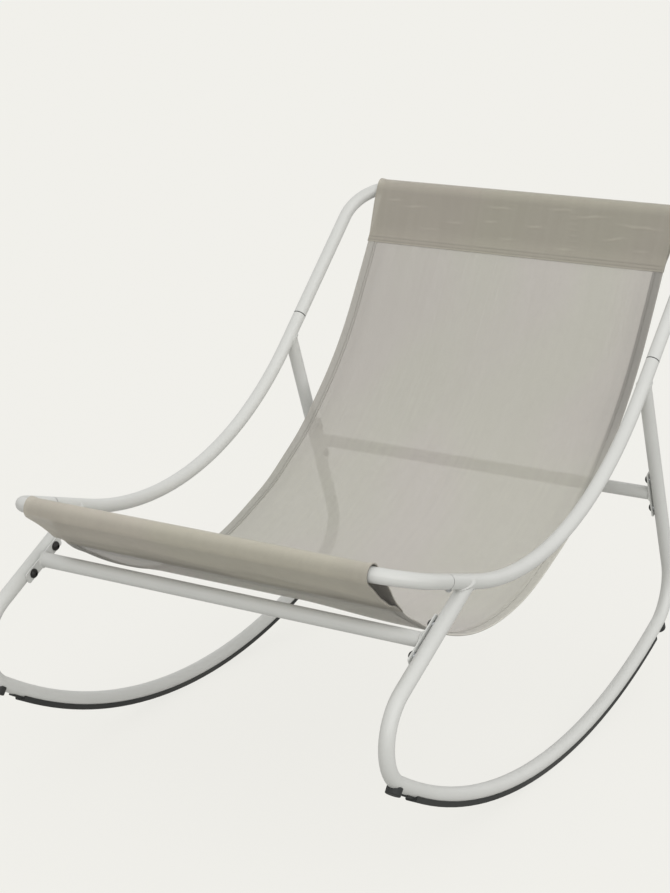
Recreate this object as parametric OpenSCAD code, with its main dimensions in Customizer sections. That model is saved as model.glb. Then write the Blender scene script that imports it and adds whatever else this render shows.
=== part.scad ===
// Rocking armchair: two bent steel side frames, two bolted braces, two U-shaped bars
// and a sling of woven mesh that hangs between the bars.
// X is the chair's width, +Y its back and +Z up. The origin lies on the floor under
// the middle of the chair. Millimetres.

/* [Side frames] */
// Distance between the middle planes of the two side frames
frame_w = 600; // [560:5:660]
// Outside diameter of the frame tube
tube_d = 20; // [18:0.5:22]
// Wall of the frame tube
tube_wall = 1.5; // [1.2:0.1:2]
// Tip of the whole chair, from the slopes given below to where it balances empty
balance_tip = 1.6; // [0:0.1:3]

/* [Rockers] */
// Radius of the rocker arc, at the middle of the tube
rocker_r = 900; // [870:5:950]
// Length of the arc ahead of the floor contact, in degrees
rocker_front_arc = 32.8; // [31:0.1:35]
// Length of the arc behind the floor contact, in degrees
rocker_rear_arc = 22.3; // [20:0.1:24]
// Radius of the two bends that turn the rocker up into its legs
rocker_bend_r = 66; // [60:1:72]
// Slope of the front leg
front_leg_slope = 26.6; // [24:0.1:29]
// Lean of the rear leg from upright
rear_leg_lean = 22.4; // [20:0.1:25]

/* [Side rails] */
// Front end of the side rail, ahead of the middle of the rocker arc
rail_front_y = 368; // [360:1:376]
// Front end of the side rail, below the middle of the rocker arc
rail_front_z = 539; // [530:1:548]
// Slope of the side rail's straight front end
rail_front_slope = 17.4; // [16:0.1:19]
// Length of the side rail's straight front end
rail_front_len = 80; // [78:1:90]
// Radius of the side rail's long bend
rail_bend_r = 532; // [520:1:545]
// Turn of the side rail's long bend, in degrees
rail_bend_turn = 60.7; // [59:0.1:62]
// Length of the side rail's straight rear end
rail_rear_len = 58; // [54:1:70]

/* [Front and back bars] */
// Radius of the corner bends of both bars
corner_r = 66; // [56:1:68]
// Straight leg of the front bar, from its joint to its corner bend
front_bar_leg = 42; // [38:1:60]
// Straight leg of the back bar, from its joint to its corner bend
back_bar_leg = 200; // [190:1:216]
// Length of the necked end that plugs into the side rail
spigot_len = 36; // [26:1:45]
// Length of the shoulder where the bar narrows to its necked end
shoulder_len = 4; // [3:0.5:6]
// Clearance all round the necked end
spigot_gap = 0.15; // [0.1:0.05:0.3]
// Hairline left between the shoulder of the bar and the rail
seam_gap = 0.9; // [0.2:0.1:1.2]
// Distance of the fixing screw from the joint
seam_screw_at = 6; // [5:0.5:10]
// Shank diameter of the fixing screw
seam_screw_d = 4; // [3:0.5:5]
// Length of the fixing screw under its head
seam_screw_len = 8; // [6:0.5:10]
// Head diameter of the fixing screw
seam_screw_head_d = 9.5; // [7:0.5:11]
// Head height of the fixing screw
seam_screw_head_h = 3.5; // [1.5:0.1:4]

/* [Braces] */
// Outside diameter of the brace tube
brace_d = 20; // [16:0.5:21]
// Wall of the brace tube
brace_wall = 1.5; // [1.2:0.1:2]
// Middle of the front brace, up the front leg from its bend
front_brace_at = 84; // [76:1:90]
// Middle of the rear brace, up the rear leg from its bend
rear_brace_at = 137; // [120:1:170]
// Length of the end plate
plate_len = 80; // [76:1:90]
// Width of the end plate
plate_w = 16; // [14:0.5:20]
// Thickness of the end plate
plate_t = 2; // [1.5:0.5:3]
// Corner radius of the end plate
plate_corner_r = 3; // [1:0.5:5]
// Distance between the two bolts of a plate
bolt_pitch = 54; // [50:1:60]
// Shank diameter of the bolt
bolt_d = 6; // [5:0.5:7]
// Head diameter of the bolt
bolt_head_d = 13; // [11:0.5:14]
// Height of the bolt head, with its domed top
bolt_head_h = 6; // [5:0.5:7]
// Height of the bolt head's straight rim
bolt_rim_h = 2; // [1:0.5:3]
// Length of the bolt under its head
bolt_len = 14; // [10:0.5:16]
// Width across the flats of the bolt's socket
bolt_socket_w = 4; // [3:0.5:5]
// Depth of the bolt's socket
bolt_socket_depth = 3; // [2:0.5:4]
// Clearance round the bolt in the plate and in the thread
bolt_gap = 0.2; // [0.1:0.05:0.4]
// Barrel diameter of the rivet nut
nut_d = 9; // [8.5:0.5:10]
// Barrel length of the rivet nut
nut_len = 11; // [8:0.5:12]
// Flange diameter of the rivet nut
nut_flange_d = 12; // [11:0.5:13]
// Flange thickness of the rivet nut
nut_flange_t = 0.6; // [0.4:0.1:1]

/* [Welds] */
// Width of the weld bead round the foot of a leg
weld_w = 2.5; // [2:0.5:3.5]
// Height of that bead above the rail
weld_h = 2; // [1:0.5:3]
// Width of the weld bead between the brace and its plate
plate_weld_w = 2; // [1:0.5:3]

/* [Floor strips and pads] */
// Width of the rubber strip under the rocker
strip_w = 16; // [13:0.5:17]
// Thickness of the strip under the tube
strip_t = 5; // [4:0.5:7]
// Depth below the middle of the tube at which the strip's sides end
strip_side_at = 7; // [6.5:0.5:8]
// Radius of the strip's lower edges
strip_edge_r = 2.5; // [1:0.5:3]
// End of the strip ahead of the floor contact, in degrees
strip_front_arc = 29.9; // [28:0.1:30.2]
// End of the strip behind the floor contact, in degrees
strip_rear_arc = 21; // [19:0.1:21.6]
// Length of the thin tongue at the strip's front end, in degrees
tongue_arc = 1.3; // [0.8:0.1:1.6]
// Width of the thin tongue
tongue_w = 9; // [7:0.5:11]
// Thickness of the thin tongue
tongue_t = 2; // [1.5:0.5:3]
// Diameter of the moulded pegs that hold the strip and the pads
peg_d = 6; // [5:0.5:7]
// Length of a peg past the tube's inside wall
peg_past = 2; // [1:0.5:3]
// Clearance round a peg
peg_gap = 0.1; // [0.05:0.05:0.3]
// Pegs under one strip
peg_count = 4; // [3:1:6]
// Distance of the outer pegs from the ends of the strip, in degrees
peg_inset = 3; // [2:0.5:5]
// Diameter of the end pads
pad_d = 20; // [17:0.5:22]
// Height of the end pads below the tube
pad_h = 6; // [4:0.5:8]
// Radius of the lower edge of the end pads
pad_edge_r = 1.5; // [0.5:0.5:2]
// Place of an end pad past the end of the rocker arc, in degrees of its bend
pad_at = 5; // [2:0.5:9]

/* [Sling] */
// Width of the sling
sling_w = 508; // [460:2:512]
// Thickness of one layer of the mesh
cloth_t = 1.2; // [0.8:0.1:1.5]
// Slope of the sling where it leaves the front bar
sling_front_slope = 43.8; // [41:0.1:47]
// Slope of the sling where the seat turns into the back
sling_mid_slope = 13.8; // [12:0.1:16]
// Slope of the sling where it reaches the back bar
sling_back_slope = 58.4; // [57:0.1:60]
// Radius of the sling's back
sling_back_r = 630; // [600:5:660]
// Depth of the front pocket, from the middle of its bar to where the seat's curve begins
front_pocket_depth = 84; // [78:1:90]
// Length of the front pocket's sewn band along the seat's curve
seat_band = 18; // [10:1:26]
// Depth of the top pocket, from the middle of its bar to its seam
top_pocket_depth = 95; // [85:1:110]
// Clearance of both pockets round their bars
pocket_gap = 0.4; // [0.3:0.1:1]
// Width of the sewn band that closes a pocket
pocket_band = 10; // [8:1:14]
// Width of the doubled side hems
hem_w = 16; // [12:1:22]

/* [Hidden] */

// Fragments of small round shapes and of the long bends
$fn = 48;
fine_fn = 360;
// Overshoot of a cut past the face that it opens
cut = 1;
// Spare length of a bend that is cut off square where the next stretch begins
bend_spare = 2;
// Wall that a tight bend takes off each face of its tube, and the radius that takes none
bend_thinning = 0.03;
no_thinning_r = 1500;
// How far the pointed tips of a coped leg stay back from the rail's middle
cope_tip = 1;
// Angle between a pocket's two layers and its middle plane
pocket_taper = 9;

frame_colour = [0.84, 0.85, 0.82];
mesh_colour = [0.74, 0.72, 0.68];
pocket_colour = [0.6, 0.59, 0.54];
rubber_colour = [0.2, 0.2, 0.2];
black_colour = [0.07, 0.07, 0.07];
zinc_colour = [0.7, 0.71, 0.72];

tube_r = tube_d / 2;
bore_r = tube_r - tube_wall;
brace_r = brace_d / 2;
peg_r = peg_d / 2;
bolt_r = bolt_d / 2;
nut_r = nut_d / 2;
side_x = frame_w / 2;
plate_out = side_x - tube_r - nut_flange_t;
plate_in = plate_out - plate_t;
hub_h = rocker_r + tube_r + strip_t;

// The side view is drawn about the middle of the rocker arc: x runs back and y runs up
function ahead(h) = [cos(h), sin(h)];
function left(h) = [-sin(h), cos(h)];
function turned(p, a) = [p.x * cos(a) - p.y * sin(a), p.x * sin(a) + p.y * cos(a)];
function det(a, b) = a.x * b.y - a.y * b.x;
// Distance along the line from p on heading h to the line through q on heading k
function meet(p, h, q, k) = det(q - p, ahead(k)) / det(ahead(h), ahead(k));

// Rocker: front bend, arc, rear bend and the two straight legs
arc_front = -rocker_front_arc;
arc_rear = rocker_rear_arc;
front_bend_c = (rocker_r - rocker_bend_r) * -left(arc_front);
rear_bend_c = (rocker_r - rocker_bend_r) * -left(arc_rear);
front_leg_h = front_leg_slope;
rear_leg_h = 90 + rear_leg_lean;
front_leg_p = front_bend_c + rocker_bend_r * left(front_leg_h);
rear_leg_p = rear_bend_c - rocker_bend_r * left(rear_leg_h);
front_bend_turn = 180 - front_leg_slope - rocker_front_arc;
rear_bend_turn = rear_leg_h - arc_rear;

// Side rail: straight front, long bend and straight rear
rail_h = -rail_front_slope;
rail_rear_h = rail_h + rail_bend_turn;
rail_p = [-rail_front_y, -rail_front_z];
rail_bend_p = rail_p + rail_front_len * ahead(rail_h);
rail_bend_c = rail_bend_p + rail_bend_r * left(rail_h);
rail_rear_p = rail_bend_c - rail_bend_r * left(rail_rear_h);
rail_end_p = rail_rear_p + rail_rear_len * ahead(rail_rear_h);
front_leg_len = meet(front_leg_p, front_leg_h, rail_p, rail_h);
rear_leg_len = meet(rear_leg_p, rear_leg_h, rail_rear_p, rail_rear_h);

// Bars, seen from the side
front_bar_p = rail_p - (front_bar_leg + corner_r) * ahead(rail_h);
back_bar_p = rail_end_p + (back_bar_leg + corner_r) * ahead(rail_rear_h);

// Braces, seen from the side
front_brace_p = front_leg_p + front_brace_at * ahead(front_leg_h);
rear_brace_p = rear_leg_p + rear_brace_at * ahead(rear_leg_h);

// Sling: straight front pocket, seat arc, back arc, straight top. The seat's radius and
// the length of the top run follow from the places of the two bars.
front_h = -sling_front_slope;
mid_h = sling_mid_slope;
back_h = sling_back_slope;
seat_span = left(front_h) - left(mid_h);
back_span = sling_back_r * (left(mid_h) - left(back_h));
sling_rest = back_bar_p - front_bar_p - front_pocket_depth * ahead(front_h) - back_span;
sling_seat_r = det(sling_rest, ahead(back_h)) / det(seat_span, ahead(back_h));
top_run = det(seat_span, sling_rest) / det(seat_span, ahead(back_h));
seat_p = front_bar_p + front_pocket_depth * ahead(front_h);
seat_band_turn = seat_band / sling_seat_r * 180 / PI;

// The pockets reach onto the corner bends, where the bars draw back from their own line
corner_over = max(0, sling_w / 2 - side_x + corner_r);
corner_draw = corner_r - sqrt(corner_r * corner_r - corner_over * corner_over);
function pocket_r(a) = tube_r + pocket_gap + corner_draw * sin(abs(a) + pocket_taper);
front_pocket_r = pocket_r(rail_h - front_h);
top_pocket_r = pocket_r(back_h - rail_rear_h);

// The chair is centred on its own length, pocket and front bends included
front_most = turned(front_bend_c, balance_tip).x - rocker_bend_r - tube_r;
rear_most = turned(back_bar_p, balance_tip).x + top_pocket_r + cloth_t;
hub_y = -(front_most + rear_most) / 2;

// Puts what is drawn in the side view in its place in the chair, with z across the width
module place() {
    translate([0, hub_y, hub_h])
        rotate([balance_tip, 0, 0])
        rotate([90, 0, 90])
        children();
}

// One side frame's place: 1 is right and -1 is left
module side(s) {
    translate([0, 0, s * side_x])
        children();
}

// Moves to a point of the side view and turns x onto a heading
module on_line(p, h) {
    translate([p.x, p.y, 0])
        rotate([0, 0, h])
        children();
}

// Goes round a bend of radius r and turns by a, with x as the way forward and y to the left
module round_bend(r, a) {
    translate([0, r, 0])
        rotate([0, 0, a])
        translate([0, -r, 0])
        children();
}

// Straight stretch with the section that its children draw
module straight(len) {
    $thin = 0;
    rotate([90, 0, 90])
        linear_extrude(len)
        children();
}

// Bend with that section, cut off square where the next stretch begins. $thin tells the
// section how much slimmer to be, so each bend steps in slightly from its neighbours.
module bend(r, a) {
    $thin = bend_thinning * (1 - r / no_thinning_r);
    difference() {
        translate([0, r, 0])
            rotate([0, 0, -90])
            rotate_extrude(angle = a + bend_spare / r * 180 / PI, $fn = fine_fn)
            translate([r, 0])
            mirror([1, 0])
            children();
        round_bend(r, a)
            translate([0, -tube_d, -frame_w])
            cube([2 * bend_spare, 2 * tube_d, 2 * frame_w]);
    }
}

// Stretches one after another: [length] is straight, and [radius, turn] is a bend to the left
module run(steps, i = 0) {
    if (i < len(steps)) {
        step = steps[i];
        if (len(step) == 1) {
            straight(step[0])
                children();
            translate([step[0], 0, 0])
                run(steps, i + 1)
                children();
        } else {
            bend(step[0], step[1])
                children();
            round_bend(step[0], step[1])
                run(steps, i + 1)
                children();
        }
    }
}

// Section of the frame tube
module tube_ring() {
    difference() {
        circle(r = tube_r - $thin);
        circle(r = bore_r + $thin);
    }
}

// Straight rod of radius r, from a point on a heading, with over added at both ends
module rod(p, h, len, r, over = 0) {
    on_line(p, h)
        translate([-over, 0, 0])
        rotate([0, 90, 0])
        cylinder(h = len + 2 * over, r = r, $fn = fine_fn);
}

// The two straight ends of the side rail as solid rods
module rail_ends(r) {
    on_line(rail_p, rail_h) {
        rod([0, 0], 0, rail_front_len, r);
        translate([rail_front_len, 0, 0])
            round_bend(rail_bend_r, rail_bend_turn)
            rod([0, 0], 0, rail_rear_len, r);
    }
}

// Points outward from the rocker tube: z is the outward direction at heading h of a bend
module under_tube(c, bend_r, h) {
    on_line(c + bend_r * -left(h), h)
        rotate([90, 0, 0])
        children();
}

module at_pads() {
    under_tube(front_bend_c, rocker_bend_r, arc_front - pad_at)
        children();
    under_tube(rear_bend_c, rocker_bend_r, arc_rear + pad_at)
        children();
}

module at_strip_pegs() {
    first = -strip_front_arc + peg_inset;
    step = (strip_rear_arc + strip_front_arc - 2 * peg_inset) / (peg_count - 1);
    for (i = [0 : peg_count - 1])
        under_tube([0, 0], rocker_r, first + i * step)
        children();
}

// Bolt places of one brace, seen from the side
module at_bolts(p, h) {
    for (s = [-1, 1])
        on_line(p, h)
        translate([s * bolt_pitch / 2, 0, 0])
        children();
}

// Screw places: z points out of the rail's underside
module at_seam_screw(p, h, s) {
    on_line(p + s * seam_screw_at * ahead(h), h)
        rotate([90, 0, 0])
        children();
}

module peg_hole() {
    cylinder(h = tube_d, r = peg_r + peg_gap);
}

module side_rail() {
    difference() {
        on_line(rail_p, rail_h)
            run([[rail_front_len], [rail_bend_r, rail_bend_turn], [rail_rear_len]])
            tube_ring();
        at_seam_screw(rail_p, rail_h, 1)
            cylinder(h = tube_d, d = seam_screw_d);
        at_seam_screw(rail_end_p, rail_rear_h, -1)
            cylinder(h = tube_d, d = seam_screw_d);
    }
}

// s tells the inner side of the tube, where the braces are bolted on
module rocker_tube(s) {
    difference() {
        rotate([0, 0, arc_front])
            translate([0, -rocker_r, 0]) {
                run([
                    [rocker_r, rocker_front_arc + rocker_rear_arc],
                    [rocker_bend_r, rear_bend_turn],
                    [rear_leg_len - cope_tip]
                ])
                    tube_ring();
                mirror([1, 0, 0])
                    run([[rocker_bend_r, front_bend_turn], [front_leg_len - cope_tip]])
                    tube_ring();
            }
        rail_ends(tube_r);
        at_pads()
            peg_hole();
        at_strip_pegs()
            peg_hole();
        mirror([0, 0, s > 0 ? 1 : 0]) {
            at_bolts(front_brace_p, front_leg_h)
                cylinder(h = tube_d, r = nut_r);
            at_bolts(rear_brace_p, rear_leg_h)
                cylinder(h = tube_d, r = nut_r);
        }
    }
}

// U-shaped rod lying in a sloping plane: x runs from the joints to the crossbar
module u_rod(leg, r, from = 0) {
    rotate([90, 0, 0]) {
        for (s = [-1, 1]) {
            translate([from, s * side_x, 0])
                rotate([0, 90, 0])
                cylinder(h = leg - from, r = r);
            translate([leg, s * (side_x - corner_r), 0])
                rotate([0, 0, s > 0 ? 0 : -90])
                rotate_extrude(angle = 90, $fn = fine_fn)
                translate([corner_r, 0])
                circle(r = r);
        }
        translate([leg + corner_r, side_x - corner_r, 0])
            rotate([90, 0, 0])
            cylinder(h = frame_w - 2 * corner_r, r = r);
    }
}

// Bar with a necked end on each leg, drawn from the joints outwards
module u_bar(leg) {
    neck_r = bore_r - spigot_gap;
    difference() {
        union() {
            u_rod(leg, tube_r, seam_gap);
            for (s = [-1, 1])
                side(s)
                rod([-spigot_len, 0], 0, spigot_len + shoulder_len, neck_r);
        }
        u_rod(leg, bore_r, shoulder_len);
        for (s = [-1, 1])
            side(s)
            rod([-spigot_len, 0], 0, spigot_len + shoulder_len, neck_r - tube_wall, cut);
    }
}

module front_bar() {
    difference() {
        on_line(rail_p, rail_h + 180)
            u_bar(front_bar_leg);
        for (s = [-1, 1])
            side(s)
            at_seam_screw(rail_p, rail_h, 1)
            cylinder(h = tube_d, d = seam_screw_d);
    }
}

module back_bar() {
    difference() {
        on_line(rail_end_p, rail_rear_h)
            u_bar(back_bar_leg);
        for (s = [-1, 1])
            side(s)
            at_seam_screw(rail_end_p, rail_rear_h, -1)
            cylinder(h = tube_d, d = seam_screw_d);
    }
}

// Bead round the foot of a leg: p, h and len are the leg's, q, k and rail_len the rail's
module tube_weld(p, h, len, q, k, rail_len) {
    difference() {
        intersection() {
            rod(p, h, len - cope_tip, tube_r + weld_w);
            rod(q, k, rail_len, tube_r + weld_h);
        }
        rod(p, h, len, tube_r, cut);
        rod(q, k, rail_len, tube_r, cut);
    }
}

module frame_welds() {
    for (s = [-1, 1])
        side(s) {
            tube_weld(front_leg_p, front_leg_h, front_leg_len, rail_p, rail_h, rail_front_len);
            tube_weld(rear_leg_p, rear_leg_h, rear_leg_len, rail_rear_p, rail_rear_h, rail_rear_len);
        }
}

// Domed head with its flat face on z = 0
module dome(d, h) {
    ball_r = (d * d / 4 + h * h) / (2 * h);
    intersection() {
        translate([0, 0, h - ball_r])
            sphere(r = ball_r);
        cylinder(h = h, d = d);
    }
}

module seam_screw() {
    translate([0, 0, tube_r])
        dome(seam_screw_head_d, seam_screw_head_h);
    translate([0, 0, tube_r - seam_screw_len])
        cylinder(h = seam_screw_len, d = seam_screw_d);
}

module seam_screws(p, h, s) {
    for (k = [-1, 1])
        side(k)
        at_seam_screw(p, h, s)
        seam_screw();
}

module brace_tube(p) {
    translate([p.x, p.y, -plate_in])
        difference() {
            cylinder(h = 2 * plate_in, r = brace_r);
            translate([0, 0, -cut])
                cylinder(h = 2 * plate_in + 2 * cut, r = brace_r - brace_wall);
        }
}

// Both ends of the chair's width: children are drawn on the right and mirrored to the left
module both_sides() {
    children();
    mirror([0, 0, 1])
        children();
}

module plate_outline() {
    inner_l = plate_len - 2 * plate_corner_r;
    inner_w = plate_w - 2 * plate_corner_r;
    square([inner_l, plate_w], center = true);
    square([plate_len, inner_w], center = true);
    for (x = [-1, 1], y = [-1, 1])
        translate([x * inner_l / 2, y * inner_w / 2])
        circle(r = plate_corner_r);
}

module brace_plates(p, h) {
    both_sides()
        difference() {
            on_line(p, h)
                translate([0, 0, plate_in])
                linear_extrude(plate_t)
                plate_outline();
            translate([0, 0, plate_in - cut])
                at_bolts(p, h)
                cylinder(h = plate_t + 2 * cut, r = bolt_r + bolt_gap);
        }
}

// Fillet ring round the brace tube, against the inner face of its plate
module brace_weld(p) {
    translate([p.x, p.y, plate_in - plate_weld_w])
        difference() {
            cylinder(h = plate_weld_w, r1 = brace_r, r2 = brace_r + plate_weld_w);
            translate([0, 0, -cut])
                cylinder(h = plate_weld_w + 2 * cut, r = brace_r);
        }
}

module bolt() {
    mirror([0, 0, 1])
        difference() {
            union() {
                cylinder(h = bolt_rim_h, d = bolt_head_d);
                translate([0, 0, bolt_rim_h])
                    dome(bolt_head_d, bolt_head_h - bolt_rim_h);
            }
            translate([0, 0, bolt_head_h - bolt_socket_depth])
                cylinder(h = bolt_head_h, d = bolt_socket_w / cos(30), $fn = 6);
        }
    cylinder(h = bolt_len, r = bolt_r);
}

module brace_bolts(p, h) {
    both_sides()
        at_bolts(p, h)
        translate([0, 0, plate_in])
        bolt();
}

module rivet_nut() {
    difference() {
        union() {
            cylinder(h = nut_flange_t, d = nut_flange_d);
            cylinder(h = nut_flange_t + nut_len, r = nut_r);
        }
        translate([0, 0, -cut])
            cylinder(h = nut_flange_t + nut_len + 2 * cut, r = bolt_r + bolt_gap / 4);
    }
}

module rivet_nuts(p, h) {
    both_sides()
        at_bolts(p, h)
        translate([0, 0, plate_out])
        rivet_nut();
}

// Section of the strip: x runs away from the middle of the rocker arc
module strip_section() {
    out = rocker_r + tube_r + strip_t;
    difference() {
        union() {
            translate([rocker_r, -strip_w / 2])
                square([tube_r + strip_t - strip_edge_r, strip_w]);
            translate([rocker_r, strip_edge_r - strip_w / 2])
                square([tube_r + strip_t, strip_w - 2 * strip_edge_r]);
            for (s = [-1, 1])
                translate([out - strip_edge_r, s * (strip_w / 2 - strip_edge_r)])
                circle(r = strip_edge_r);
        }
        translate([rocker_r, 0])
            circle(r = tube_r);
        translate([rocker_r, -strip_w])
            square([strip_side_at, 2 * strip_w]);
    }
}

module tongue_section() {
    difference() {
        translate([rocker_r, -tongue_w / 2])
            square([tube_r + tongue_t, tongue_w]);
        translate([rocker_r, 0])
            circle(r = tube_r);
    }
}

module peg() {
    translate([0, 0, bore_r - peg_past])
        cylinder(h = tube_wall + peg_past + cut, r = peg_r);
}

module rocker_strip() {
    rotate([0, 0, -strip_front_arc - 90]) {
        rotate_extrude(angle = strip_front_arc + strip_rear_arc, $fn = fine_fn)
            strip_section();
        mirror([0, 1, 0])
            rotate_extrude(angle = tongue_arc, $fn = fine_fn)
            tongue_section();
    }
    at_strip_pegs()
        peg();
}

// Round pad with a stem, saddled over the tube at heading h of a bend
module end_pad(c, h) {
    low = tube_r + pad_h;
    difference() {
        under_tube(c, rocker_bend_r, h) {
            cylinder(h = low - pad_edge_r, d = pad_d);
            cylinder(h = low, d = pad_d - 2 * pad_edge_r);
            translate([0, 0, low - pad_edge_r])
                rotate_extrude()
                translate([pad_d / 2 - pad_edge_r, 0])
                circle(r = pad_edge_r);
        }
        on_line(c, h - 120)
            rotate_extrude(angle = 60, $fn = fine_fn)
            translate([rocker_bend_r, 0])
            circle(r = tube_r);
        under_tube(c, rocker_bend_r, h)
            translate([0, 0, -cut])
            cylinder(h = tube_r / 2 + cut, d = 2 * pad_d);
    }
    under_tube(c, rocker_bend_r, h)
        peg();
}

// The sling between the seams of its two pockets, of thickness t and width w
module sling_run(t, w) {
    on_line(seat_p, front_h)
        round_bend(sling_seat_r, seat_band_turn)
        run([
            [sling_seat_r, mid_h - front_h - seat_band_turn],
            [sling_back_r, back_h - mid_h],
            [top_run - top_pocket_depth]
        ])
        square([t - 2 * $thin, w - 2 * $thin], center = true);
}

module side_hem(s) {
    translate([0, 0, s * (sling_w - hem_w) / 2])
        sling_run(2 * cloth_t, hem_w);
}

// Drop shape round a bar: a circle and the two tangents that meet at x = depth
module drop(r, depth) {
    a = acos(r / depth);
    circle(r = r);
    polygon([[depth, 0], r * ahead(a), r * ahead(-a)]);
}

// Pocket round a bar at p, closed by a sewn band on heading h
module pocket(p, h, depth, r) {
    inner = depth - pocket_band;
    outer = inner * (r + cloth_t) / r;
    on_line(p, h)
        translate([0, 0, -sling_w / 2])
        linear_extrude(sling_w) {
            difference() {
                drop(r + cloth_t, outer);
                drop(r, inner);
                translate([depth, -depth])
                    square(2 * depth);
            }
            translate([inner, -cloth_t])
                square([pocket_band, 2 * cloth_t]);
        }
}

// The front pocket's two layers run on together along the seat, down to their seam
module seat_band_sheet() {
    on_line(front_bar_p, front_h)
        translate([front_pocket_depth, 0, 0])
        bend(sling_seat_r, seat_band_turn)
        square([2 * (cloth_t - $thin), sling_w - 2 * $thin], center = true);
}

color(frame_colour) place() side(-1) side_rail();  // side_rail_left
color(frame_colour) place() side(1) side_rail();  // side_rail_right
color(frame_colour) place() side(-1) rocker_tube(-1);  // rocker_tube_left
color(frame_colour) place() side(1) rocker_tube(1);  // rocker_tube_right
color(frame_colour) place() front_bar();
color(frame_colour) place() back_bar();
color(frame_colour) place() frame_welds();
color(zinc_colour) place() seam_screws(rail_p, rail_h, 1);  // front_seam_screws
color(zinc_colour) place() seam_screws(rail_end_p, rail_rear_h, -1);  // rear_seam_screws
color(frame_colour) place() brace_tube(front_brace_p);  // front_brace_tube
color(frame_colour) place() brace_tube(rear_brace_p);  // rear_brace_tube
color(frame_colour) place() brace_plates(front_brace_p, front_leg_h);  // front_brace_plates
color(frame_colour) place() brace_plates(rear_brace_p, rear_leg_h);  // rear_brace_plates
color(frame_colour) place() both_sides() {  // brace_welds
        brace_weld(front_brace_p);
        brace_weld(rear_brace_p);
    }
color(black_colour) place() brace_bolts(front_brace_p, front_leg_h);  // front_brace_bolts
color(black_colour) place() brace_bolts(rear_brace_p, rear_leg_h);  // rear_brace_bolts
color(zinc_colour) place() rivet_nuts(front_brace_p, front_leg_h);  // front_rivet_nuts
color(zinc_colour) place() rivet_nuts(rear_brace_p, rear_leg_h);  // rear_rivet_nuts
color(rubber_colour) place() side(-1) rocker_strip();  // rocker_strip_left
color(rubber_colour) place() side(1) rocker_strip();  // rocker_strip_right
color(rubber_colour) place() side(-1) end_pad(front_bend_c, arc_front - pad_at);  // front_pad_left
color(rubber_colour) place() side(1) end_pad(front_bend_c, arc_front - pad_at);  // front_pad_right
color(rubber_colour) place() side(-1) end_pad(rear_bend_c, arc_rear + pad_at);  // rear_pad_left
color(rubber_colour) place() side(1) end_pad(rear_bend_c, arc_rear + pad_at);  // rear_pad_right
color(mesh_colour) place() sling_run(cloth_t, sling_w - 2 * hem_w);  // sling_panel
color(pocket_colour) place() side_hem(-1);  // side_hem_left
color(pocket_colour) place() side_hem(1);  // side_hem_right
color(pocket_colour) place() {  // front_pocket
        pocket(front_bar_p, front_h, front_pocket_depth, front_pocket_r);
        seat_band_sheet();
    }
color(pocket_colour) place()  // top_pocket
        pocket(back_bar_p, back_h + 180, top_pocket_depth, top_pocket_r);
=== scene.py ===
import math

import bpy
from mathutils import Matrix, Vector, noise


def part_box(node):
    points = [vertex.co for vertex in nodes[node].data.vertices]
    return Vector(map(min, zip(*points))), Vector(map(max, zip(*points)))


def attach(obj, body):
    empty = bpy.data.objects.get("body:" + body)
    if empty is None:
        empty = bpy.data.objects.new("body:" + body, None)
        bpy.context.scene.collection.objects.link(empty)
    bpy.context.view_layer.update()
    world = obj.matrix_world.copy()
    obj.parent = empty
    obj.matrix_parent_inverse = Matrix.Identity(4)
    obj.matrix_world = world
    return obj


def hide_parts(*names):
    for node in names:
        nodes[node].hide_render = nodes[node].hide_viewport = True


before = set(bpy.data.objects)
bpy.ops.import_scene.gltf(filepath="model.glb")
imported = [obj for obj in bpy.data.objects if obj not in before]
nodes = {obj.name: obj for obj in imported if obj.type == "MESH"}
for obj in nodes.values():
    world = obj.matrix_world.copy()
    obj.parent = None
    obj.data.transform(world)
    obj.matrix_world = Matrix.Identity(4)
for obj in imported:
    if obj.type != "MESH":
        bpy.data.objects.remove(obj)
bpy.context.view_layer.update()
scene = bpy.context.scene


# The view is through a long lens, from in front of the chair and to its right, looking
# down on the seat. The empty chair tips back slightly to balance on its rockers, and
# the camera is turned with it.
balance_tip = math.radians(1.6)
view_azimuth = math.radians(30.367)
view_elevation = math.radians(16.38)
view_place = Vector((1.3499, -2.4259, 1.1569))

camera_data = bpy.data.cameras.new("studio_camera")
camera_data.sensor_fit = "VERTICAL"
camera_data.sensor_height = 36
camera_data.lens = 81.87
camera = bpy.data.objects.new("studio_camera", camera_data)
scene.collection.objects.link(camera)
camera.matrix_world = (
    Matrix.Translation(view_place)
    @ Matrix.Rotation(balance_tip, 4, "X")
    @ Matrix.Rotation(view_azimuth, 4, "Z")
    @ Matrix.Rotation(math.pi / 2 - view_elevation, 4, "X")
)
scene.camera = camera


# The studio is a plain pale floor under even white light. One broad soft lamp, in front
# and to the right, gives the tubes their light and dark sides.
paper_white = (0.871, 0.863, 0.823, 1)
paper_bounce = (0.1, 0.0985, 0.094)
daylight = (1, 0.995, 0.98, 1)
even_light = 0.836
floor_shown = 0.895
floor_thrown = 0.45
floor_reach = 60


def add(tree, kind, inputs=(), **settings):
    """Adds a shader node. Each input takes a value, or the socket that feeds it."""
    node = tree.nodes.new("ShaderNode" + kind)
    for name, value in settings.items():
        setattr(node, name, value)
    for name, value in dict(inputs).items():
        if isinstance(value, bpy.types.NodeSocket):
            tree.links.new(value, node.inputs[name])
        else:
            node.inputs[name].default_value = value
    return node


def coated(name, base, roughness, **sockets):
    """A material of one Principled shader. Returns its node tree and the shader."""
    material = bpy.data.materials.new(name)
    material.use_nodes = True
    tree = material.node_tree
    tree.nodes.clear()
    values = {"Base Color": (*base, 1), "Roughness": roughness}
    values.update({key.replace("_", " "): value for key, value in sockets.items()})
    shader = add(tree, "BsdfPrincipled", values)
    out = add(tree, "OutputMaterial")
    tree.links.new(shader.outputs[0], out.inputs[0])
    return tree, shader


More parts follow.
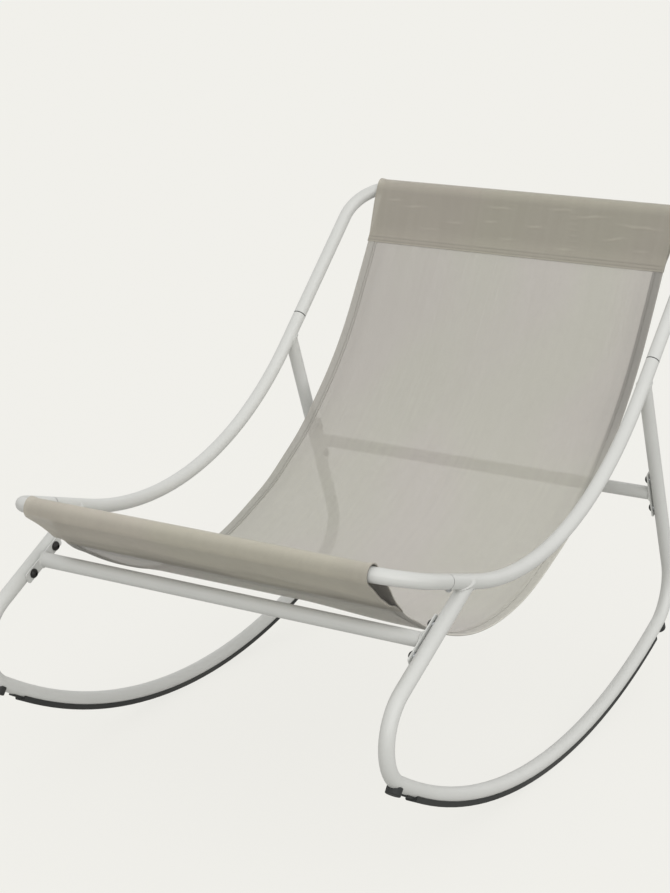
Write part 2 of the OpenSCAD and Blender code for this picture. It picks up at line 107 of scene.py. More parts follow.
def maths(tree, operation, *values):
    """One Math node on values or sockets. Returns its result."""
    return add(tree, "Math", enumerate(values), operation=operation).outputs[0]


floor_mesh = bpy.data.meshes.new("studio_floor")
floor_ways = ((-1, -1), (1, -1), (1, 1), (-1, 1))
floor_corners = [(x * floor_reach, y * floor_reach, 0) for x, y in floor_ways]
floor_mesh.from_pydata(floor_corners, [], [(0, 1, 2, 3)])
floor = bpy.data.objects.new("studio_floor", floor_mesh)
scene.collection.objects.link(floor)
floor_tree, floor_paint = coated(
    "studio_floor", paper_bounce, 0.9, Specular_IOR_Level=0.0
)
floor_paint.inputs["Emission Color"].default_value = paper_white
looked_at = add(floor_tree, "LightPath").outputs["Is Camera Ray"]
glow = maths(
    floor_tree, "MULTIPLY_ADD", looked_at, floor_shown - floor_thrown, floor_thrown
)
floor_tree.links.new(glow, floor_paint.inputs["Emission Strength"])
floor_mesh.materials.append(bpy.data.materials["studio_floor"])

world = bpy.data.worlds.new("studio")
world.use_nodes = True
scene.world = world
sky = world.node_tree
sky.nodes.clear()
light_path = add(sky, "LightPath")
lit = add(sky, "Background", {"Color": daylight, "Strength": even_light})
seen = add(sky, "Background", {"Color": paper_white, "Strength": 1})
pick = add(sky, "MixShader", {0: light_path.outputs["Is Camera Ray"]})
sky.links.new(lit.outputs[0], pick.inputs[1])
sky.links.new(seen.outputs[0], pick.inputs[2])
sky_out = add(sky, "OutputWorld")
sky.links.new(pick.outputs[0], sky_out.inputs[0])


def lamp(name, strength, spread, azimuth, elevation):
    """A broad soft light that shines from that side, the same all over the floor. Its
    spread and its two directions are in degrees."""
    data = bpy.data.lights.new(name, "SUN")
    data.energy = strength
    data.angle = math.radians(spread)
    obj = bpy.data.objects.new(name, data)
    scene.collection.objects.link(obj)
    turn = Matrix.Rotation(math.radians(azimuth), 4, "Z")
    obj.matrix_world = turn @ Matrix.Rotation(math.radians(90 - elevation), 4, "X")


lamp("front_lamp", strength=1.35, spread=80, azimuth=50, elevation=20)
scene.view_settings.view_transform = "Standard"


# The frame is round steel tube, bent cold, cut and welded, then sprayed with a pale
# grey-green powder and baked. The coat has a fine orange peel and a satin shine.
def grouped(name, takes, gives):
    """An empty node group. Returns its tree, its input and its output node."""
    tree = bpy.data.node_groups.new(name, "ShaderNodeTree")
    for label, kind, value in takes:
        socket = tree.interface.new_socket(label, in_out="INPUT", socket_type=kind)
        socket.default_value = value
    for label, kind in gives:
        tree.interface.new_socket(label, in_out="OUTPUT", socket_type=kind)
    return tree, tree.nodes.new("NodeGroupInput"), tree.nodes.new("NodeGroupOutput")


def ranged(tree, value, low, high, to_low=0.0, to_high=1.0):
    """Moves a value smoothly from one range to another."""
    steps = {0: value, 1: low, 2: high, 3: to_low, 4: to_high}
    return add(tree, "MapRange", steps, interpolation_type="SMOOTHSTEP").outputs[0]


def shaded(tree, colour, amount):
    """Lightens or darkens a colour by an amount about 1."""
    values = {0: 1.0, 6: colour, 7: amount}
    return add(
        tree, "Mix", values, data_type="RGBA", blend_type="MULTIPLY", clamp_result=True
    ).outputs[2]


def place_on(tree):
    """Where a point lies on its piece, in metres."""
    return add(tree, "TexCoord").outputs["Object"]


def bumped(tree, shader, height, strength, depth):
    """Feeds a height into the shader as fine bumps. Returns the Bump node."""
    values = {"Height": height, "Strength": strength, "Distance": depth}
    bump = add(tree, "Bump", values)
    tree.links.new(bump.outputs[0], shader.inputs["Normal"])
    return bump


FLOAT = "NodeSocketFloat"

# Fine bumps of a sprayed, cast or moulded skin, with a slow change of shade over it
skin, skin_in, skin_out = grouped(
    "fine_skin",
    [("Grain per m", FLOAT, 900.0), ("Mottle per m", FLOAT, 9.0)],
    [("Height", FLOAT), ("Mottle", FLOAT)],
)
skin_place = place_on(skin)
for layer_at, detail, rough in ((0, 2.0, 0.6), (1, 3.0, 0.55)):
    values = {"Vector": skin_place, "Scale": skin_in.outputs[layer_at]}
    values.update({"Detail": detail, "Roughness": rough})
    cloud = add(skin, "TexNoise", values)
    skin.links.new(cloud.outputs[0], skin_out.inputs[layer_at])


def skinned(name, base, roughness, grain_per_m, depth, change, dulling, **sockets):
    """A finish with the fine skin. depth is the height of its grain in metres, and
    change and dulling are how far its shade and its roughness wander to each side.
    Returns the node tree, the shader, the Bump node and the skin."""
    tree, shader = coated(name, base, roughness, **sockets)
    layer = add(tree, "Group", {"Grain per m": grain_per_m}, node_tree=skin)
    cloud = layer.outputs["Mottle"]
    tint = ranged(tree, cloud, 0.3, 0.7, 1 - change, 1 + change)
    tree.links.new(shaded(tree, (*base, 1), tint), shader.inputs["Base Color"])
    shine = ranged(tree, cloud, 0.3, 0.7, roughness - dulling, roughness + dulling)
    tree.links.new(shine, shader.inputs["Roughness"])
    bump = bumped(tree, shader, layer.outputs["Height"], 0.6, depth)
    return tree, shader, bump, layer


def dress(finish, *names):
    """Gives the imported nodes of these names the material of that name."""
    for name in names:
        for place in nodes[name].material_slots:
            place.material = bpy.data.materials[finish]


mm = 0.001
pale_powder = (0.62, 0.625, 0.603)
satin_powder = {
    "base": pale_powder,
    "roughness": 0.36,
    "grain_per_m": 850.0,
    "depth": 0.12 * mm,
    "change": 0.02,
    "dulling": 0.05,
    "Coat_Weight": 0.15,
}
skinned("pale_powder_coat", **satin_powder)
dress(
    "pale_powder_coat",
    "side_rail_left",
    "side_rail_right",
    "rocker_tube_left",
    "rocker_tube_right",
    "front_brace_tube",
    "rear_brace_tube",
    "front_brace_plates",
    "rear_brace_plates",
)


# The front and back bars are plugged into the side rails. Their necked ends are bare
# dark steel, so each joint shows a fine dark ring.
tube_r = 10 * mm
corner_r = 66 * mm
ring_from = 2.4 * mm
ring_to = 0.8 * mm
front_low, front_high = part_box("front_bar")
_, back_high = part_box("back_bar")
front_bar = Vector((front_low.y + tube_r, front_high.z - tube_r))
back_bar = Vector((back_high.y - tube_r, back_high.z - tube_r))
bare_steel = (0.035, 0.035, 0.036, 1)


def ahead(heading):
    """The way of a heading, in y and z."""
    return Vector((math.cos(heading), math.sin(heading)))


def mixed(tree, share, first, second):
    """Goes from the first colour to the second by a share from 0 to 1."""
    values = {0: share, 6: first, 7: second}
    return add(tree, "Mix", values, data_type="RGBA").outputs[2]


def overlaid(tree, shader, share, colour):
    """Lays a second colour over what the shader shows, by a share from 0 to 1."""
    paint = shader.inputs["Base Color"].links[0].from_socket
    tree.links.new(mixed(tree, share, paint, colour), shader.inputs["Base Color"])


def bar_paint(name, bar, leg, slope):
    """Powder coat on a bar up to its joint. bar is the middle of the bar's crossing, in
    y and z, and leg and slope, in degrees, lead from there to the joint."""
    tree, shader, _, _ = skinned(name, **satin_powder)
    way = ahead(math.radians(slope) + balance_tip)
    values = {0: place_on(tree), 1: (0, way.x, way.y)}
    along = add(tree, "VectorMath", values, operation="DOT_PRODUCT").outputs["Value"]
    joint = (leg + corner_r) + bar.dot(way)
    neck = ranged(tree, along, joint - ring_from, joint - ring_to)
    overlaid(tree, shader, neck, bare_steel)


bar_paint("front_bar_coat", front_bar, leg=42 * mm, slope=-17.4)
bar_paint("back_bar_coat", back_bar, leg=200 * mm, slope=223.3)
dress("front_bar_coat", "front_bar")
dress("back_bar_coat", "back_bar")


# The legs are welded to the rails and the braces to their plates. The beads show their
# ripples under the same coat, which lies thicker and duller there.
ripples_per_m = 420.0
ripple_height = 2.5
weld_tree, _, weld_bump, weld_layer = skinned(
    "coated_weld",
    pale_powder,
    roughness=0.42,
    grain_per_m=500.0,
    depth=0.2 * mm,
    change=0.03,
    dulling=0.05,
)
values = {"Vector": place_on(weld_tree), "Scale": ripples_per_m, "Smoothness": 0.6}
beads = add(weld_tree, "TexVoronoi", values, feature="SMOOTH_F1")
rippled = maths(
    weld_tree,
    "MULTIPLY_ADD",
    beads.outputs["Distance"],
    ripple_height,
    weld_layer.outputs["Height"],
)
weld_tree.links.new(rippled, weld_bump.inputs["Height"])
dress("coated_weld", "frame_welds", "brace_welds")


# The braces hang on steel bolts with low round heads and a hexagon socket. They are
# blackened in oil, a little paler and shinier in places.
oil_black = (0.022, 0.021, 0.02)
skinned(
    "blackened_bolt",
    oil_black,
    roughness=0.38,
    grain_per_m=1400.0,
    depth=0.08 * mm,
    change=0.3,
    dulling=0.1,
    Metallic=0.55,
)
dress("blackened_bolt", "front_brace_bolts", "rear_brace_bolts")


# Small screws lock the plugged joints and rivet nuts are set in the legs. Both are
# bright zinc-plated steel, a little cloudy.
zinc_grey = (0.6, 0.61, 0.62)
skinned(
    "bright_zinc",
    zinc_grey,
    roughness=0.3,
    grain_per_m=1100.0,
    depth=0.06 * mm,
    change=0.08,
    dulling=0.1,
    Metallic=1.0,
)
dress(
    "bright_zinc",
    "front_seam_screws",
    "rear_seam_screws",
    "front_rivet_nuts",
    "rear_rivet_nuts",
)


# Dark grey rubber strips are pegged under the rockers, with a round pad past each end.
# They are moulded with a fine matt grain, and dull with dust where they meet the floor.
rubber_grey = (0.02, 0.0215, 0.0205)
floor_dust = (0.16, 0.155, 0.14, 1)
dust_reach = 30 * mm
dust_amount = 0.25
rubber_tree, rubber_shader, _, rubber_layer = skinned(
    "moulded_rubber",
    rubber_grey,
    roughness=0.62,
    grain_per_m=1000.0,
    depth=0.25 * mm,
    change=0.12,
    dulling=0.06,
)
above_floor = add(rubber_tree, "SeparateXYZ", {0: place_on(rubber_tree)}).outputs[2]
near_floor = ranged(rubber_tree, above_floor, 0.0, dust_reach, 1.0, 0.0)
dust = maths(rubber_tree, "MULTIPLY", near_floor, rubber_layer.outputs["Mottle"])
dust = maths(rubber_tree, "MULTIPLY", dust, dust_amount)
overlaid(rubber_tree, rubber_shader, dust, floor_dust)
dress(
    "moulded_rubber",
    "rocker_strip_left",
    "rocker_strip_right",
    "front_pad_left",
    "front_pad_right",
    "rear_pad_left",
    "rear_pad_right",
)


# The seat is one width of open mesh, woven from plastic-coated yarn. It hangs between
# the two bars in a long curve, straight near each bar, tightest in its round under the
# seat and wider up the back.
cloth_t = 1.2 * mm
sling_w = 510 * mm
hem_w = 16 * mm
front_straight = 84 * mm
front_pocket_depth = 102 * mm
top_pocket_depth = 95 * mm
front_heading = math.radians(-43.8) + balance_tip
seat_turn = math.radians(57.6)
back_turn = math.radians(44.6)
back_heading = front_heading + seat_turn + back_turn
seat_r = 418.3 * mm
back_r = 630 * mm
top_run = 196.3 * mm
sling_run = front_straight + seat_r * seat_turn + back_r * back_turn + top_run


def leftward(heading):
    """The way that lies square to a heading, on its left."""
    return Vector((-math.sin(heading), math.cos(heading)))


def sling_line(run):
    """Point of the sling's middle line, in y and z, and its heading, by the run from
    the middle of the front bar."""
    point, heading = front_bar.copy(), front_heading
    for length, turn in (
        (front_straight, 0),
        (seat_r * seat_turn, seat_turn),
        (back_r * back_turn, back_turn),
        (top_run, 0),
    ):
        part = min(run, length)
        if turn:
            radius, angle = length / turn, part / length * turn
            point = point + radius * (leftward(heading) - leftward(heading + angle))
            heading += angle
        else:
            point = point + part * ahead(heading)
        run -= part
        if run <= 0:
            break
    return point, heading


def bell(value, width):
    """1 where the value is 0, and fading to both sides."""
    return math.exp(-((value / width) ** 2))


def smooth(value, low, high):
    """Rises from 0 at low to 1 at high, with soft ends."""
    share = min(max((value - low) / (high - low), 0), 1)
    return share * share * (3 - 2 * share)


def cloth_mesh(name, line, columns, lift, thickness, tone, taper=lambda run: 1):
    """A closed sheet of cloth. line is a list of (point, normal, run) in y and z,
    columns the places across, lift(x, run) how far the cloth stands out along its
    normal, thickness(x) its gauge and tone(x, run, face) how light it is there, painted
    light and shade included, where face is 1 on the side that the normal points to.
    taper(run) is its share of the full width. The attribute cloth keeps x and run, and
    the attribute tone the lightness with its painted light and shade."""
    wide, long = len(columns), len(line)
    points, keep, tones = [], [], []
    for face in (1, -1):
        for middle, normal, run in line:
            for x in columns:
                out = lift(x, run) + face * thickness(x) / 2
                spot = middle + normal * out
                points.append((x * taper(run), spot.x, spot.y))
                keep += (x, run, 0)
                tones.append(tone(x, run, face))
    faces = []
    back = wide * long
    for j in range(long - 1):
        for i in range(wide - 1):
            a = j * wide + i
            faces.append((a, a + 1, a + 1 + wide, a + wide))
            faces.append((back + a, back + a + wide, back + a + 1 + wide, back + a + 1))
    rim = list(range(wide))
    rim += [j * wide + wide - 1 for j in range(1, long)]
    rim += [(long - 1) * wide + i for i in range(wide - 2, -1, -1)]
    rim += [j * wide for j in range(long - 2, 0, -1)]
    for a, b in zip(rim, rim[1:] + rim[:1]):
        faces.append((b, a, back + a, back + b))
    mesh = bpy.data.meshes.new(name)
    mesh.from_pydata(points, [], faces)
    mesh.update()
    flat_place = mesh.attributes.new("cloth", "FLOAT_VECTOR", "POINT")
    flat_place.data.foreach_set("vector", keep)
    lightness = mesh.attributes.new("tone", "FLOAT", "POINT")
    lightness.data.foreach_set("value", tones)
    mesh.shade_smooth()
    mesh.set_sharp_from_angle(angle=math.radians(50))
    obj = bpy.data.objects.new(name, mesh)
    scene.collection.objects.link(obj)
    return obj


def spread(low, high, step):
    """Places from low to high, evenly, about a step apart."""
    count = max(1, round(abs(high - low) / step))
    return [low + (high - low) * i / count for i in range(count + 1)]


# Plain weave of round yarns, whose warp and weft pass over each other in turn. It gives
# how closed the cloth is, how high its yarn stands, and slow streaks and patches.
weave, weave_in, weave_out = grouped(
    "plain_weave",
    [("Pitch", FLOAT, 0.0013), ("Hole", FLOAT, 0.1), ("Yarn", FLOAT, 0.5)],
    [("Solid", FLOAT), ("Height", FLOAT), ("Streak", FLOAT), ("Patch", FLOAT)],
)
cloth_place = add(weave, "Attribute", attribute_name="cloth").outputs["Vector"]
cloth_xyz = add(weave, "SeparateXYZ", {0: cloth_place})
swing = []
for axis in (0, 1):
    turns = maths(weave, "DIVIDE", cloth_xyz.outputs[axis], weave_in.outputs["Pitch"])
    swing.append(maths(weave, "COSINE", maths(weave, "MULTIPLY", turns, math.pi)))
over = maths(weave, "MULTIPLY", swing[0], swing[1])
yarn = []
for axis, side in ((0, 0.4), (1, -0.4)):
    round_top = maths(weave, "MULTIPLY", swing[axis], swing[axis])
    share = maths(weave, "MULTIPLY_ADD", over, side, 0.6)
    yarn.append(maths(weave, "MULTIPLY", round_top, share))
crown = maths(weave, "MAXIMUM", yarn[0], yarn[1])
solid = ranged(weave, crown, 0.3, 0.5)
gap_share = maths(weave, "SUBTRACT", weave_in.outputs["Yarn"], weave_in.outputs["Hole"])
weave.links.new(
    maths(weave, "MULTIPLY_ADD", solid, gap_share, weave_in.outputs["Hole"]),
    weave_out.inputs[0],
)
weave.links.new(crown, weave_out.inputs[1])
streaks_per_m = (95.0, 2.2, 1.0)
patches_per_m = (5.0, 2.6, 1.0)
for at, per_m, detail in ((2, streaks_per_m, 3.0), (3, patches_per_m, 1.0)):
    values = {0: cloth_place, 1: per_m}
    drawn = add(weave, "VectorMath", values, operation="MULTIPLY").outputs[0]
    cloud = add(weave, "TexNoise", {"Vector": drawn, "Scale": 1.0, "Detail": detail})
    weave.links.new(cloud.outputs[0], weave_out.inputs[at])


def mesh_cloth(name, base, hole, yarn_alpha, streak, patch):
    """Open mesh cloth. hole and yarn_alpha are how much its gaps and its yarns hide,
    streak is how far that wanders along it, and patch how far its colour does."""
    tree, shader = coated(name, base, 0.62, Sheen_Weight=0.15, Sheen_Roughness=0.6)
    woven = add(tree, "Group", {"Hole": hole, "Yarn": yarn_alpha}, node_tree=weave)
    streaks = ranged(tree, woven.outputs["Streak"], 0.3, 0.7, 1 - streak, 1 + streak)
    cover = maths(tree, "MULTIPLY", woven.outputs["Solid"], streaks)
    tree.links.new(cover, shader.inputs["Alpha"])
    warm = tuple(value * (1 + patch * lean) for value, lean in zip(base, (0, 0.5, -1)))
    cool = tuple(value * (1 + patch * lean) for value, lean in zip(base, (1, -0.5, 1)))
    patches = ranged(tree, woven.outputs["Patch"], 0.4, 0.6)
    tint = mixed(tree, patches, (*warm, 1), (*cool, 1))
    # The yarns are painted lighter on their crowns and darker in the hollows between
    # them, as painted light and shade, and the tone attribute adds each piece's painted
    # light and shade and its marks.
    grey = ranged(tree, woven.outputs["Height"], 0.2, 0.9, 0.8, 1.1)
    tone = add(tree, "Attribute", attribute_name="tone").outputs["Fac"]
    grey = maths(tree, "MULTIPLY", grey, tone)
    tree.links.new(shaded(tree, tint, grey), shader.inputs["Base Color"])
    bumped(tree, shader, woven.outputs["Height"], 0.5, 0.3 * mm)
    return bpy.data.materials[name]


backlit_yarn = (0.536, 0.517, 0.464)
open_mesh = mesh_cloth("open_mesh", backlit_yarn, 0.45, 0.8, 0.03, 0.015)
half_panel = sling_w / 2 - hem_w
panel_from = front_pocket_depth
panel_to = sling_run - top_pocket_depth
row_step = 5 * mm
seat_rise = 8.6 * mm
rise_at = 225 * mm
rise_reach = 110 * mm
end_blend = 50 * mm
seam_shadow_at = 103 * mm


def panel_lift(x, run):
    """The free cloth ripples very slightly along its hems, and the front half of the
    seat is drawn up a little, least at its right. Both ends lie in their seams."""
    edge = smooth(abs(x), 0.14, half_panel)
    rest = noise.noise(Vector((x * 5, run * 7, 3.1))) * 0.9 * mm
    ripple = math.sin(run / 0.034 + 3 * math.sin(run / 0.11)) * 0.7 * mm
    higher = (1 - 0.55 * smooth(x, 0.04, 0.19)) * (1 - 0.28 * smooth(-x, 0.19, 0.25))
    higher *= bell(run - rise_at, rise_reach) * seat_rise
    ends = smooth(run, panel_from, panel_from + end_blend)
    ends *= 1 - smooth(run, panel_to - end_blend, panel_to)
    return (rest + ripple * edge + higher) * ends


def seam_painted_shadow(x, run):
    """A soft painted shadow fills the shallow valley along the front seam, on the
    underside, in slow waves.
    """
    wave = 4 * mm * math.sin(x / 0.052 + 0.8 * math.sin(x / 0.021))
    return 1 - 0.39 * bell(run - seam_shadow_at - wave, 12 * mm)


def panel_tone(x, run, face):
    """The mesh is a little darker beside its hems. It is painted a little lighter on
    the seat and to the right and darker up its back, as painted light and shade. Its
    underside is painted darker as painted shade, most of all in the painted shadow
    where it hangs steeply near the front."""
    beside = 1 - 0.05 * bell(half_panel - 12 * mm - abs(x), 9 * mm)
    if face > 0:
        seat = 0.04 * (1 - smooth(run, 0.4, 0.6))
        return beside * (1.03 + 0.22 * x + seat - 0.06 * smooth(run, 0.65, 0.9))
    return beside * 0.86 * seam_painted_shadow(x, run)


def sling_rows():
    """Rows of the free cloth from pocket to pocket: point, normal and run."""
    rows = []
    for run in spread(panel_from, panel_to, row_step):
        point, heading = sling_line(run)
        rows.append((point, leftward(heading), run))
    return rows


panel = cloth_mesh(
    "sling_panel_mesh",
    sling_rows(),
    spread(-half_panel, half_panel, 6 * mm),
    panel_lift,
    lambda x: cloth_t,
    panel_tone,
)
panel.data.materials.append(open_mesh)
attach(panel, "root")
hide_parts("sling_panel")


# Both long edges are turned over and sewn, so each hem is two layers with a round
# outer fold. It draws in slightly along its row of stitches.
hem_yarn = (0.402, 0.39, 0.35)
hem_mesh = mesh_cloth("hem_mesh", hem_yarn, 0.62, 0.86, 0.02, 0.01)
stitch_inset = 4 * mm
hem_layers = 2.2


def hem_gauge(x):
    """Two layers, round at the fold and drawn in along the stitches."""
    in_from_fold = sling_w / 2 - abs(x)
    fold = math.sqrt(max(0.04, 1 - (1 - min(in_from_fold / cloth_t, 1)) ** 2))
    stitch = 1 - 0.35 * bell(hem_w - in_from_fold - stitch_inset, 1.5 * mm)
    return hem_layers * cloth_t * fold * stitch


def hem_tone(x, run, face):
    """The right hem is painted light along the seat and darker up the back, as painted
    light and shade, and the left one is even. Each has a painted highlight along the
    fold at its very edge, is darker along its row of stitches and is painted darker on
    its underside as painted shade."""
    in_from_fold = sling_w / 2 - abs(x)
    seat = 1 - smooth(run, 0.55, 0.95)
    base = 0.8 + 0.72 * seat if x > 0 else 1.17 - 0.04 * seat
    pale = 0.22 * bell(in_from_fold, 1.6 * mm)
    stitched = 0.12 * bell(hem_w - in_from_fold - stitch_inset, 1.6 * mm)
    if x > 0:
        stitched *= 1 - 0.8 * seat
    return (base + pale - stitched) * (1 if face > 0 else 0.62)


# Places across a hem, in millimetres in from its fold
hem_across = [0, 0.25, 0.6, 1.2, 2.5, 5, 7.5, 9.5, 10.6, 11.4, 12, 12.6, 13.4, 14.6, 16]
for side, label in ((-1, "left"), (1, "right")):
    across = [side * (sling_w / 2 - inset * mm) for inset in hem_across]
    hem = cloth_mesh(
        f"side_hem_cloth_{label}",
        sling_rows(),
        sorted(across),
        panel_lift,
        hem_gauge,
        hem_tone,
    )
    hem.data.materials.append(hem_mesh)
    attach(hem, "root")
    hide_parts(f"side_hem_{label}")


# Each end of the cloth goes round its bar and is sewn back onto itself, so it makes a
# pocket. Its edge is turned in on the sitter's side, so the front one is smooth below.
folded_yarn = (0.408, 0.384, 0.322)
doubled_mesh = mesh_cloth("doubled_mesh", folded_yarn, 0.62, 0.86, 0.02, 0.01)
flap_over = 1.35 * mm
cloth_mid = cloth_t / 2
seam_rows = (3.5 * mm, 9 * mm)
front_pocket_w = 508 * mm


def pocket_line(bar, heading, inner_r, depth, close, flap, side, step):
    """Middle line of a pocket: from the panel round the bar and back along its other
    side, which ends in the flap. Its layers meet at close. side is 1 if the flap lies
    to the left of heading."""
    loop_r = inner_r + cloth_mid
    angle = math.acos(loop_r / close)
    touch, out = loop_r * math.cos(angle), loop_r * math.sin(angle)
    rows = []
    for x in spread(depth, close, step):
        rows.append((x, 0.0))
    for x in spread(close, touch, step)[1:]:
        rows.append((x, -side * out * (close - x) / (close - touch)))
    for turn in spread(-angle, angle - 2 * math.pi, step / loop_r)[1:]:
        rows.append((loop_r * math.cos(turn), side * loop_r * math.sin(turn)))
    for x in spread(touch, close, step)[1:]:
        share = (x - touch) / (close - touch)
        rows.append((x, side * (out + (flap_over - out) * share)))
    for x in spread(close, flap, step)[1:]:
        rows.append((x, side * flap_over))
    forward, up = ahead(heading), leftward(heading)
    spots = [bar + forward * x + up * y for x, y in rows]
    line, run = [], 0.0
    for i, spot in enumerate(spots):
        before, after = spots[max(i - 1, 0)], spots[min(i + 1, len(spots) - 1)]
        way = (after - before).normalized()
        if i:
            run += (spot - spots[i - 1]).length
        line.append((spot, Vector((-way.y, way.x)) * side, run))
    return line, run


def pocket_gauge(in_from_edge):
    """The cloth's own edges are hemmed in the pockets too."""
    return cloth_t * (1.7 - 0.7 * smooth(in_from_edge, 4 * mm, 6 * mm))


def mouth_flare(in_from_edge):
    """A pocket opens slightly at its two ends, where its bar bends away."""
    return (1 - smooth(in_from_edge, 0, 11 * mm)) * 0.9 * mm


front_inner_r = 12.2 * mm
front_close = 80 * mm
front_flap = front_pocket_depth + 3 * mm
belly_out = 2.6 * mm
belly_at = 38 * mm
front_line, front_run = pocket_line(
    front_bar,
    front_heading,
    front_inner_r,
    front_pocket_depth,
    front_close,
    front_flap,
    1,
    1.5 * mm,
)


def front_lift(x, run):
    """The outer layer bellies above the seam in long soft folds that run down to the
    right, and is drawn in along the stitches. It hangs open at its right end."""
    belly = bell(run - belly_at, 22 * mm) * belly_out
    fold = math.sin((x + 2.6 * run) / 0.046 + 0.8 * math.sin(x / 0.09))
    fold += 0.6 * math.sin((x + 4.1 * run) / 0.021 + 1.3)
    soft = bell(run - 32 * mm, 18 * mm) * 0.9 * mm
    slow = noise.noise(Vector((x * 9, run * 22, 7.7))) * 1.6 * mm
    hanging = smooth(x, 0.2, 0.258) * bell(run - 66 * mm, 20 * mm) * 4 * mm
    drawn = smooth(run, 4 * mm, 20 * mm)
    outer = belly + soft * fold + slow * bell(run - belly_at, 26 * mm) + hanging
    flare = mouth_flare(front_pocket_w / 2 - abs(x))
    return drawn * (outer + flare) * (1 - smooth(run, 0.2, 0.21))


def front_tone(x, run, face):
    """The outer layer is one even tone, painted lighter all over as painted light.
    Painted shade darkens it where it leaves the bar, on its belly and in the shallow
    valley along the seam, and darkens the pocket inside its ends."""
    inside = smooth(abs(x), 0.19, 0.24) if face < 0 else 0
    off_bar = 0.28 * bell(run - 117.5 * mm, 8 * mm)
    full = 1.53 - off_bar - 0.2 * bell(run - 27 * mm, 14 * mm)
    return full * seam_painted_shadow(x, front_pocket_depth - run) * (1 - 0.74 * inside)


front_cloth = cloth_mesh(
    "front_pocket_cloth",
    front_line,
    spread(-front_pocket_w / 2, front_pocket_w / 2, 4 * mm),
    front_lift,
    lambda x: pocket_gauge(front_pocket_w / 2 - abs(x)),
    front_tone,
)
front_cloth.data.materials.append(doubled_mesh)
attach(front_cloth, "root")
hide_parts("front_pocket")


# The top pocket is turned back on the sitter's side, where its flap shows a scatter of
# short creases from packing and a double row of stitches along its lower edge.
top_pocket_w = 518 * mm
top_inner_r = 11.67 * mm
top_close = 83 * mm
top_flap = 96 * mm
top_line, top_cloth_run = pocket_line(
    back_bar,
    back_heading + math.pi,
    top_inner_r,
    top_pocket_depth,
    top_close,
    top_flap,
    -1,
    1.1 * mm,
)
# Each crease: place across, place below the bar and half length, in millimetres, then
# its slope and how high it stands
creases = [
    (-222, 24, 12, 0.02, 0.5),
    (-184, 32, 16, -0.03, 0.45),
    (-108, 52, 10, 0.05, 0.5),
    (-46, 45, 9, 0.0, 0.5),
    (-34, 21, 19, 0.04, 0.55),
    (32, 46, 12, 0.03, 0.6),
    (68, 15, 20, -0.03, 0.45),
    (120, 22, 22, -0.08, 0.6),
    (204, 31, 27, 0.02, 0.6),
    (90, 77, 14, 0.04, 0.5),
    (168, 53, 14, -0.16, 0.55),
    (-10, 70, 11, 0.02, 0.35),
    (-150, 66, 17, 0.02, 0.3),
    (215, 68, 12, 0.05, 0.45),
]


def creased(x, below):
    """How far a crease stands out, or one of the short marks in a row beside them."""
    height = 0.0
    for at, down, half, slope, rise in creases:
        along = x - at * mm
        if abs(along) < 2 * half * mm:
            off = below - down * mm - slope * along + 0.7 * mm * math.sin(along / 0.006)
            height += rise * bell(along, half * mm) * bell(off, 1.9 * mm)
    marks = bell(x - (88 + 0.22 * below / mm) * mm, 5 * mm)
    marks *= max(0, math.cos(below / (9 * mm) * 2 * math.pi)) ** 3
    return height + 0.3 * marks


def top_taper(run):
    """The cloth is widest over its bar, and is drawn in a little along its seam."""
    from_seam = min(run, top_cloth_run - run)
    return 1 - 0.0135 * (1 - smooth(from_seam, 5 * mm, 90 * mm))


def top_lift(x, run):
    """Creases stand on the flap between its bar and its seam, and both ends open a
    little."""
    back = top_cloth_run - run
    below = top_flap - back
    slow = noise.noise(Vector((x * 8, below * 18, 1.2))) * 0.8 * mm
    flap = smooth(back, 10 * mm, 24 * mm) * (1 - smooth(back, 80 * mm, 96 * mm))
    flare = mouth_flare(top_pocket_w / 2 - abs(x))
    flare *= smooth(back, 14 * mm, 30 * mm) * smooth(run, 14 * mm, 30 * mm)
    return flap * (1.4 * mm * creased(x, below) + slow) + flare


def top_tone(x, run, face):
    """The cloth is painted lighter over the bar, as painted light where the pale bar
    shows through, and a little lighter towards the flap's edge. Its creases and the
    flap's edge are painted pale as painted highlights, and it is darker along its two
    rows of stitches."""
    back = top_cloth_run - run
    over_bar = smooth(back, 84 * mm, 98 * mm) * (1 - smooth(back, 138 * mm, 152 * mm))
    rows = sum(bell(back - row, 1.4 * mm) for row in seam_rows)
    edge = bell(back, 1.2 * mm)
    lined = 0.3 * creased(x, top_flap - back) - 0.12 * rows + 0.15 * edge
    hanging = 0.1 * (1 - smooth(back, 10 * mm, 34 * mm))
    return 1 + 0.2 * over_bar + hanging + lined


top_cloth = cloth_mesh(
    "top_pocket_cloth",
    top_line,
    spread(top_pocket_w / 2, -top_pocket_w / 2, 4 * mm),
    top_lift,
    lambda x: pocket_gauge(top_pocket_w / 2 - abs(x)),
    top_tone,
    top_taper,
)
top_cloth.data.materials.append(doubled_mesh)
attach(top_cloth, "root")
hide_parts("top_pocket")


# Every seam is lock-stitched with a thick grey-beige thread. Two rows close each pocket
# and one row holds each hem.
stitch_pitch = 3.6 * mm
stitch_len = 2.7 * mm
thread_r = 0.3 * mm
thread_sides = 5
row_short = 4 * mm
# Rings of one stitch: along it, girth and rise, in shares of its length and its radius
stitch_rings = (
    (-0.5, 0.35, -0.2),
    (-0.3, 1.0, 0.5),
    (0.3, 1.0, 0.5),
    (0.5, 0.35, -0.2),
)
thread_beige = (0.3, 0.29, 0.255)
skinned(
    "polyester_thread",
    thread_beige,
    roughness=0.7,
    grain_per_m=1500.0,
    depth=0.1 * mm,
    change=0.1,
    dulling=0.05,
)


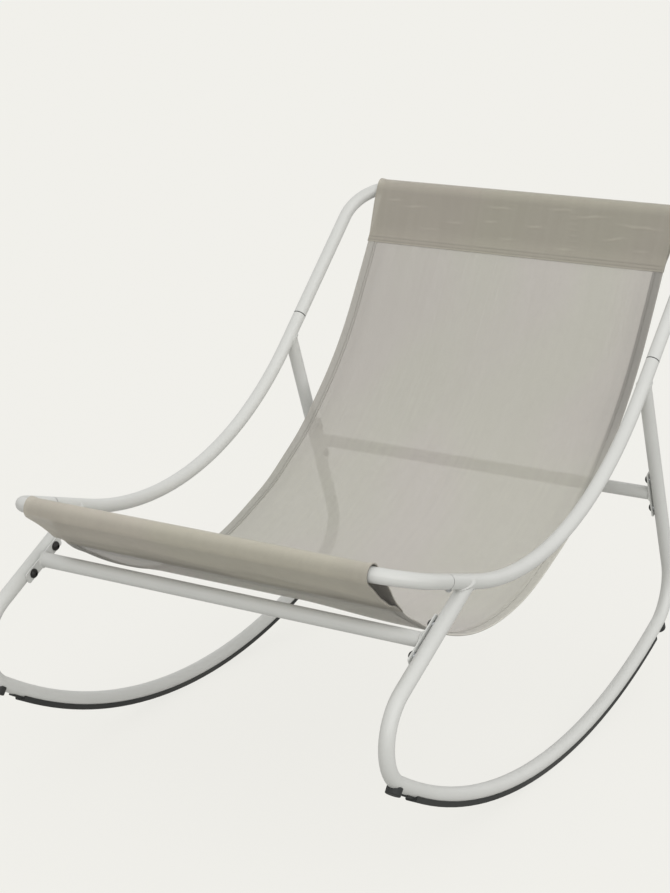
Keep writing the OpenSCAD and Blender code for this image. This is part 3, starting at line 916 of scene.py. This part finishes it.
def stitch_row(points, faces, place, count):
    """Adds a row of stitches. place(share) gives a point, the way along the row and
    the way out of the cloth."""
    for number in range(count):
        point, way, out = place((number + 0.5) / count)
        across = way.cross(out)
        start = len(points)
        for along, girth, rise in stitch_rings:
            for turn in range(thread_sides):
                angle = turn * 2 * math.pi / thread_sides
                spot = point + way * along * stitch_len + out * rise * thread_r
                spot += across * math.cos(angle) * girth * thread_r
                spot += out * math.sin(angle) * girth * thread_r
                points.append(tuple(spot))
        first = range(start, start + thread_sides)
        for ring in range(len(stitch_rings) - 1):
            base = start + ring * thread_sides
            for turn in range(thread_sides):
                a, b = base + turn, base + (turn + 1) % thread_sides
                faces.append((a, b, b + thread_sides, a + thread_sides))
        faces.append(tuple(reversed(first)))
        faces.append(tuple(range(len(points) - thread_sides, len(points))))


def seam_place(run, face, stand, wide):
    """A row across the cloth, on its upper face if face is 1. stand is how far that
    face lies from the sling's middle line, and wide is the cloth's width there."""
    point, heading = sling_line(run)
    up = leftward(heading) * face
    spot = point + up * stand
    half = wide / 2 - row_short
    side_way, out_way = Vector((1, 0, 0)), Vector((0, up.x, up.y))

    def place(share):
        x = -half + 2 * half * share
        return Vector((x, spot.x, spot.y)), side_way, out_way

    return place


def hem_place(side, face):
    """A row along the hem of that side, on its upper face if face is 1."""
    x = side * (sling_w / 2 - hem_w + stitch_inset)

    def place(share):
        run = panel_from + (panel_to - panel_from) * share
        point, heading = sling_line(run)
        way, up = ahead(heading), leftward(heading) * face
        spot = point + leftward(heading) * panel_lift(x, run)
        spot = spot + up * (hem_gauge(x) / 2)
        along_way, out_way = Vector((0, way.x, way.y)), Vector((0, up.x, up.y))
        return Vector((x, spot.x, spot.y)), along_way, out_way

    return place


threads, thread_faces = [], []
seam_count = round(sling_w / stitch_pitch)
flap_stand = flap_over + cloth_mid
top_edge = sling_run - top_flap
top_seam_w = top_pocket_w * top_taper(0)
for edge, inward, wide in ((front_flap, -1, front_pocket_w), (top_edge, 1, top_seam_w)):
    for row in seam_rows:
        for face, stand in ((1, flap_stand), (-1, cloth_mid)):
            place = seam_place(edge + inward * row, face, stand, wide)
            stitch_row(threads, thread_faces, place, seam_count)
hem_count = round((panel_to - panel_from) / stitch_pitch)
for side in (-1, 1):
    for face in (1, -1):
        stitch_row(threads, thread_faces, hem_place(side, face), hem_count)
thread_mesh = bpy.data.meshes.new("seam_threads")
thread_mesh.from_pydata(threads, [], thread_faces)
thread_mesh.update()
thread_mesh.shade_smooth()
thread_mesh.materials.append(bpy.data.materials["polyester_thread"])
seam_threads = bpy.data.objects.new("seam_threads", thread_mesh)
scene.collection.objects.link(seam_threads)
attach(seam_threads, "root")
